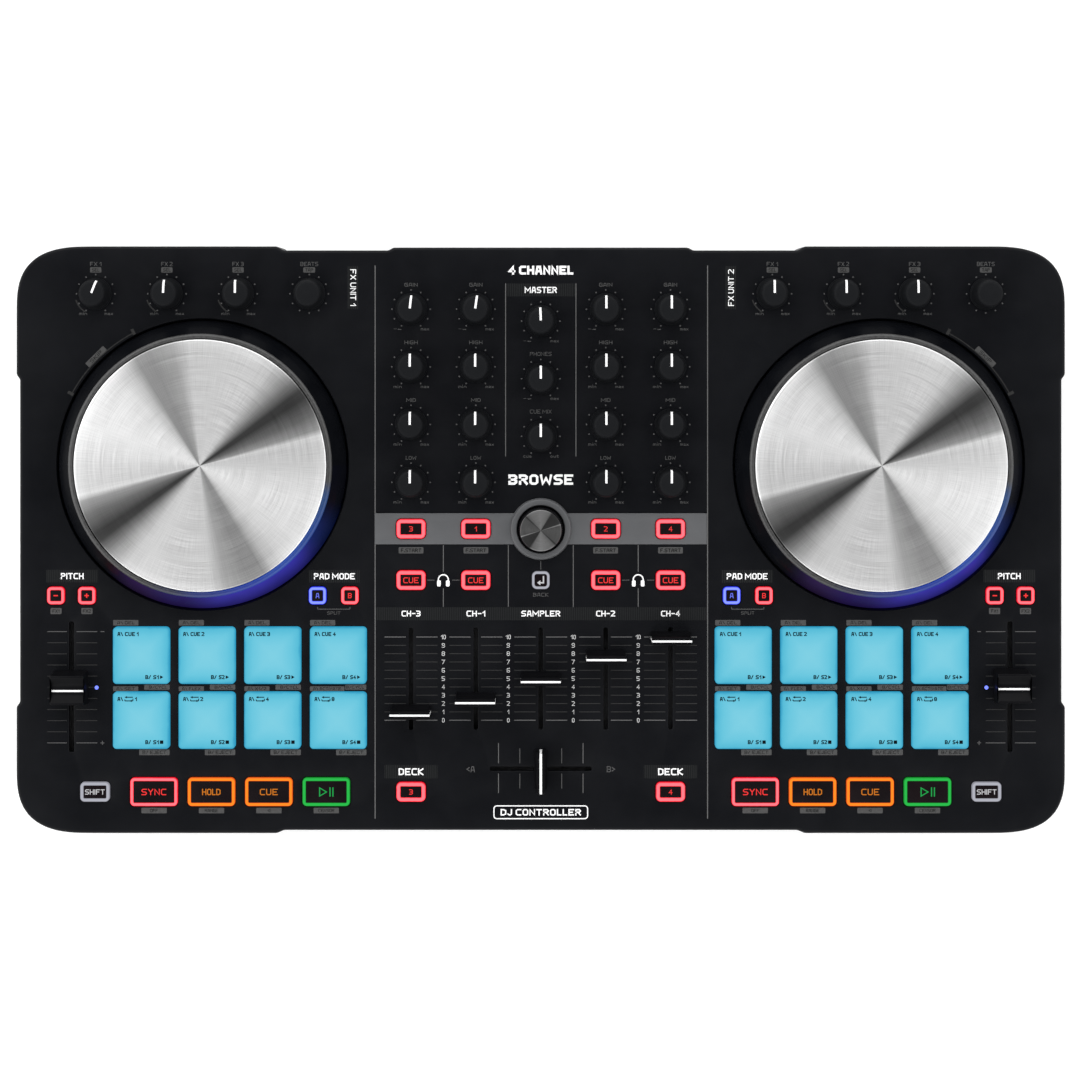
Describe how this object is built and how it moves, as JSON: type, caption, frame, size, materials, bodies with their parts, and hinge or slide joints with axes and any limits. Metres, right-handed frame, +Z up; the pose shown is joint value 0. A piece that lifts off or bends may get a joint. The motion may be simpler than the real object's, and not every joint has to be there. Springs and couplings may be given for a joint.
{
  "type": "dj controller",
  "caption": "Flat tabletop DJ controller: a mixer section between two decks with spun jog wheels, lit pads, keys, knobs and sliding faders.",
  "frame": {"origin": "centre of the footprint, on the surface that the rubber feet stand on", "axes": "+X to the player's right along the long side, +Y to the rear edge with the sockets, +Z up"},
  "size_m": [0.546, 0.3056, 0.059],
  "materials": {
    "case_plastic": "fine satin texture",
    "base_plastic": "coarse matte texture",
    "circuit_board": "solder mask",
    "socket_plastic": "smooth",
    "grey_trim": "satin paint",
    "foot_rubber": "matte",
    "jog_plastic": "gloss",
    "spun_aluminium": "spun, fine rings about the centre",
    "knob_plastic": "soft-touch",
    "browse_metal": "dark spun",
    "cap_plastic": "satin",
    "key_silicone": "matte",
    "pad_silicone": "matte, lit from below",
    "white_print": "screen print",
    "grey_print": "screen print",
    "red_light": "lit",
    "orange_light": "lit",
    "green_light": "lit",
    "blue_light": "lit",
    "white_light": "dimly lit",
    "plated_steel": "bright"
  },
  "bodies": {
    "case": {"top_cover": "case_plastic", "bottom_case": "base_plastic", "main_board": "circuit_board", "rear_jack_panel": "socket_plastic", "headphone_sockets": "socket_plastic", "browse_trim": "grey_trim", "foot_front_left": "foot_rubber", "foot_front_right": "foot_rubber", "foot_rear_left": "foot_rubber", "foot_rear_right": "foot_rubber"},
    "left_jog": {"left_jog_platter": "jog_plastic", "left_jog_disc": "spun_aluminium"},
    "right_jog": {"right_jog_platter": "jog_plastic", "right_jog_disc": "spun_aluminium"},
    "left_beats": {"left_beats_knob": "knob_plastic"},
    "left_fx3": {"left_fx3_knob": "knob_plastic"},
    "left_fx2": {"left_fx2_knob": "knob_plastic"},
    "left_fx1": {"left_fx1_knob": "knob_plastic"},
    "right_fx1": {"right_fx1_knob": "knob_plastic"},
    "right_fx2": {"right_fx2_knob": "knob_plastic"},
    "right_fx3": {"right_fx3_knob": "knob_plastic"},
    "right_beats": {"right_beats_knob": "knob_plastic"},
    "ch3_gain": {"ch3_gain_knob": "knob_plastic"},
    "ch3_high": {"ch3_high_knob": "knob_plastic"},
    "ch3_mid": {"ch3_mid_knob": "knob_plastic"},
    "ch3_low": {"ch3_low_knob": "knob_plastic"},
    "ch1_gain": {"ch1_gain_knob": "knob_plastic"},
    "ch1_high": {"ch1_high_knob": "knob_plastic"},
    "ch1_mid": {"ch1_mid_knob": "knob_plastic"},
    "ch1_low": {"ch1_low_knob": "knob_plastic"},
    "ch2_gain": {"ch2_gain_knob": "knob_plastic"},
    "ch2_high": {"ch2_high_knob": "knob_plastic"},
    "ch2_mid": {"ch2_mid_knob": "knob_plastic"},
    "ch2_low": {"ch2_low_knob": "knob_plastic"},
    "ch4_gain": {"ch4_gain_knob": "knob_plastic"},
    "ch4_high": {"ch4_high_knob": "knob_plastic"},
    "ch4_mid": {"ch4_mid_knob": "knob_plastic"},
    "ch4_low": {"ch4_low_knob": "knob_plastic"},
    "master": {"master_knob": "knob_plastic"},
    "phones": {"phones_knob": "knob_plastic"},
    "cue_mix": {"cue_mix_knob": "knob_plastic"},
    "browse": {"browse_knob": "browse_metal"},
    "ch3_fader": {"ch3_fader_cap": "cap_plastic"},
    "ch1_fader": {"ch1_fader_cap": "cap_plastic"},
    "sampler_fader": {"sampler_fader_cap": "cap_plastic"},
    "ch2_fader": {"ch2_fader_cap": "cap_plastic"},
    "ch4_fader": {"ch4_fader_cap": "cap_plastic"},
    "crossfader": {"crossfader_cap": "cap_plastic"},
    "left_pitch": {"left_pitch_cap": "cap_plastic"},
    "right_pitch": {"right_pitch_cap": "cap_plastic"},
    "left_pads": {"left_pad_mat": "pad_silicone"},
    "left_transport": {"left_transport_keys": "key_silicone"},
    "left_pitch_pair": {"left_pitch_keys": "key_silicone"},
    "left_mode_pair": {"left_pad_mode_keys": "key_silicone"},
    "right_pads": {"right_pad_mat": "pad_silicone"},
    "right_transport": {"right_transport_keys": "key_silicone"},
    "right_pitch_pair": {"right_pitch_keys": "key_silicone"},
    "right_mode_pair": {"right_pad_mode_keys": "key_silicone"},
    "mixer_key_set": {"mixer_keys": "key_silicone"},
    "deck_key_pair": {"deck_keys": "key_silicone"}
  },
  "joints": [
    {"name": "left_jog_spin", "type": "hinge", "parent": "case", "child": "left_jog", "pos_m": [-0.176, 0.0392, 0.053], "axis": [0, 0, 1], "continuous": true},
    {"name": "right_jog_spin", "type": "hinge", "parent": "case", "child": "right_jog", "pos_m": [0.176, 0.0392, 0.053], "axis": [0, 0, 1], "continuous": true},
    {"name": "left_beats_turn", "type": "hinge", "parent": "case", "child": "left_beats", "pos_m": [-0.1205, 0.1281, 0.056], "axis": [0, 0, -1], "continuous": true},
    {"name": "left_fx3_turn", "type": "hinge", "parent": "case", "child": "left_fx3", "pos_m": [-0.15753, 0.1281, 0.056], "axis": [0, 0, -1], "range_deg": [-150, 150]},
    {"name": "left_fx2_turn", "type": "hinge", "parent": "case", "child": "left_fx2", "pos_m": [-0.19456, 0.1281, 0.056], "axis": [0, 0, -1], "range_deg": [-153, 147]},
    {"name": "left_fx1_turn", "type": "hinge", "parent": "case", "child": "left_fx1", "pos_m": [-0.23159, 0.1281, 0.056], "axis": [0, 0, -1], "range_deg": [-171, 129]},
    {"name": "right_fx1_turn", "type": "hinge", "parent": "case", "child": "right_fx1", "pos_m": [0.1205, 0.1281, 0.056], "axis": [0, 0, -1], "range_deg": [-150, 150]},
    {"name": "right_fx2_turn", "type": "hinge", "parent": "case", "child": "right_fx2", "pos_m": [0.15753, 0.1281, 0.056], "axis": [0, 0, -1], "range_deg": [-150, 150]},
    {"name": "right_fx3_turn", "type": "hinge", "parent": "case", "child": "right_fx3", "pos_m": [0.19456, 0.1281, 0.056], "axis": [0, 0, -1], "range_deg": [-150, 150]},
    {"name": "right_beats_turn", "type": "hinge", "parent": "case", "child": "right_beats", "pos_m": [0.23159, 0.1281, 0.056], "axis": [0, 0, -1], "continuous": true},
    {"name": "ch3_gain_turn", "type": "hinge", "parent": "case", "child": "ch3_gain", "pos_m": [-0.0675, 0.1201, 0.056], "axis": [0, 0, -1], "range_deg": [-156, 144]},
    {"name": "ch3_high_turn", "type": "hinge", "parent": "case", "child": "ch3_high", "pos_m": [-0.0675, 0.0901, 0.056], "axis": [0, 0, -1], "range_deg": [-150, 150]},
    {"name": "ch3_mid_turn", "type": "hinge", "parent": "case", "child": "ch3_mid", "pos_m": [-0.0675, 0.0601, 0.056], "axis": [0, 0, -1], "range_deg": [-150, 150]},
    {"name": "ch3_low_turn", "type": "hinge", "parent": "case", "child": "ch3_low", "pos_m": [-0.0675, 0.03, 0.056], "axis": [0, 0, -1], "range_deg": [-150, 150]},
    {"name": "ch1_gain_turn", "type": "hinge", "parent": "case", "child": "ch1_gain", "pos_m": [-0.0338, 0.1201, 0.056], "axis": [0, 0, -1], "range_deg": [-158, 142]},
    {"name": "ch1_high_turn", "type": "hinge", "parent": "case", "child": "ch1_high", "pos_m": [-0.0338, 0.0901, 0.056], "axis": [0, 0, -1], "range_deg": [-150, 150]},
    {"name": "ch1_mid_turn", "type": "hinge", "parent": "case", "child": "ch1_mid", "pos_m": [-0.0338, 0.0601, 0.056], "axis": [0, 0, -1], "range_deg": [-150, 150]},
    {"name": "ch1_low_turn", "type": "hinge", "parent": "case", "child": "ch1_low", "pos_m": [-0.0338, 0.03, 0.056], "axis": [0, 0, -1], "range_deg": [-150, 150]},
    {"name": "ch2_gain_turn", "type": "hinge", "parent": "case", "child": "ch2_gain", "pos_m": [0.0338, 0.1201, 0.056], "axis": [0, 0, -1], "range_deg": [-150, 150]},
    {"name": "ch2_high_turn", "type": "hinge", "parent": "case", "child": "ch2_high", "pos_m": [0.0338, 0.0901, 0.056], "axis": [0, 0, -1], "range_deg": [-150, 150]},
    {"name": "ch2_mid_turn", "type": "hinge", "parent": "case", "child": "ch2_mid", "pos_m": [0.0338, 0.0601, 0.056], "axis": [0, 0, -1], "range_deg": [-150, 150]},
    {"name": "ch2_low_turn", "type": "hinge", "parent": "case", "child": "ch2_low", "pos_m": [0.0338, 0.03, 0.056], "axis": [0, 0, -1], "range_deg": [-150, 150]},
    {"name": "ch4_gain_turn", "type": "hinge", "parent": "case", "child": "ch4_gain", "pos_m": [0.0675, 0.1201, 0.056], "axis": [0, 0, -1], "range_deg": [-150, 150]},
    {"name": "ch4_high_turn", "type": "hinge", "parent": "case", "child": "ch4_high", "pos_m": [0.0675, 0.0901, 0.056], "axis": [0, 0, -1], "range_deg": [-150, 150]},
    {"name": "ch4_mid_turn", "type": "hinge", "parent": "case", "child": "ch4_mid", "pos_m": [0.0675, 0.0601, 0.056], "axis": [0, 0, -1], "range_deg": [-150, 150]},
    {"name": "ch4_low_turn", "type": "hinge", "parent": "case", "child": "ch4_low", "pos_m": [0.0675, 0.03, 0.056], "axis": [0, 0, -1], "range_deg": [-150, 150]},
    {"name": "master_turn", "type": "hinge", "parent": "case", "child": "master", "pos_m": [0, 0.1139, 0.056], "axis": [0, 0, -1], "range_deg": [-148, 152]},
    {"name": "phones_turn", "type": "hinge", "parent": "case", "child": "phones", "pos_m": [0, 0.0839, 0.056], "axis": [0, 0, -1], "range_deg": [-150, 150]},
    {"name": "cue_mix_turn", "type": "hinge", "parent": "case", "child": "cue_mix", "pos_m": [0, 0.0539, 0.056], "axis": [0, 0, -1], "range_deg": [-150, 150]},
    {"name": "browse_turn", "type": "hinge", "parent": "case", "child": "browse", "pos_m": [0, 0.0057, 0.056], "axis": [0, 0, -1], "continuous": true},
    {"name": "ch3_fader_slide", "type": "slide", "parent": "case", "child": "ch3_fader", "axis": [0, 1, 0], "range_m": [-0.0058, 0.0392]},
    {"name": "ch1_fader_slide", "type": "slide", "parent": "case", "child": "ch1_fader", "axis": [0, 1, 0], "range_m": [-0.0122, 0.0328]},
    {"name": "sampler_fader_slide", "type": "slide", "parent": "case", "child": "sampler_fader", "axis": [0, 1, 0], "range_m": [-0.023, 0.022]},
    {"name": "ch2_fader_slide", "type": "slide", "parent": "case", "child": "ch2_fader", "axis": [0, 1, 0], "range_m": [-0.0343, 0.0107]},
    {"name": "ch4_fader_slide", "type": "slide", "parent": "case", "child": "ch4_fader", "axis": [0, 1, 0], "range_m": [-0.0439, 0.0011]},
    {"name": "crossfader_slide", "type": "slide", "parent": "case", "child": "crossfader", "axis": [1, 0, 0], "range_m": [-0.0225, 0.0225]},
    {"name": "left_pitch_slide", "type": "slide", "parent": "case", "child": "left_pitch", "axis": [0, 1, 0], "range_m": [-0.03, 0.03]},
    {"name": "right_pitch_slide", "type": "slide", "parent": "case", "child": "right_pitch", "axis": [0, 1, 0], "range_m": [-0.031, 0.029]},
    {"name": "left_pads_press", "type": "slide", "parent": "case", "child": "left_pads", "axis": [0, 0, -1], "range_m": [0, 0.001], "stiffness_N_per_m": 3000, "springref_m": -0.0006},
    {"name": "left_transport_press", "type": "slide", "parent": "case", "child": "left_transport", "axis": [0, 0, -1], "range_m": [0, 0.001], "stiffness_N_per_m": 3000, "springref_m": -0.0006},
    {"name": "left_pitch_pair_press", "type": "slide", "parent": "case", "child": "left_pitch_pair", "axis": [0, 0, -1], "range_m": [0, 0.001], "stiffness_N_per_m": 1500, "springref_m": -0.0006},
    {"name": "left_mode_pair_press", "type": "slide", "parent": "case", "child": "left_mode_pair", "axis": [0, 0, -1], "range_m": [0, 0.001], "stiffness_N_per_m": 1500, "springref_m": -0.0006},
    {"name": "right_pads_press", "type": "slide", "parent": "case", "child": "right_pads", "axis": [0, 0, -1], "range_m": [0, 0.001], "stiffness_N_per_m": 3000, "springref_m": -0.0006},
    {"name": "right_transport_press", "type": "slide", "parent": "case", "child": "right_transport", "axis": [0, 0, -1], "range_m": [0, 0.001], "stiffness_N_per_m": 3000, "springref_m": -0.0006},
    {"name": "right_pitch_pair_press", "type": "slide", "parent": "case", "child": "right_pitch_pair", "axis": [0, 0, -1], "range_m": [0, 0.001], "stiffness_N_per_m": 1500, "springref_m": -0.0006},
    {"name": "right_mode_pair_press", "type": "slide", "parent": "case", "child": "right_mode_pair", "axis": [0, 0, -1], "range_m": [0, 0.001], "stiffness_N_per_m": 1500, "springref_m": -0.0006},
    {"name": "mixer_key_set_press", "type": "slide", "parent": "case", "child": "mixer_key_set", "axis": [0, 0, -1], "range_m": [0, 0.001], "stiffness_N_per_m": 3000, "springref_m": -0.0006},
    {"name": "deck_key_pair_press", "type": "slide", "parent": "case", "child": "deck_key_pair", "axis": [0, 0, -1], "range_m": [0, 0.001], "stiffness_N_per_m": 1500, "springref_m": -0.0006}
  ]
}
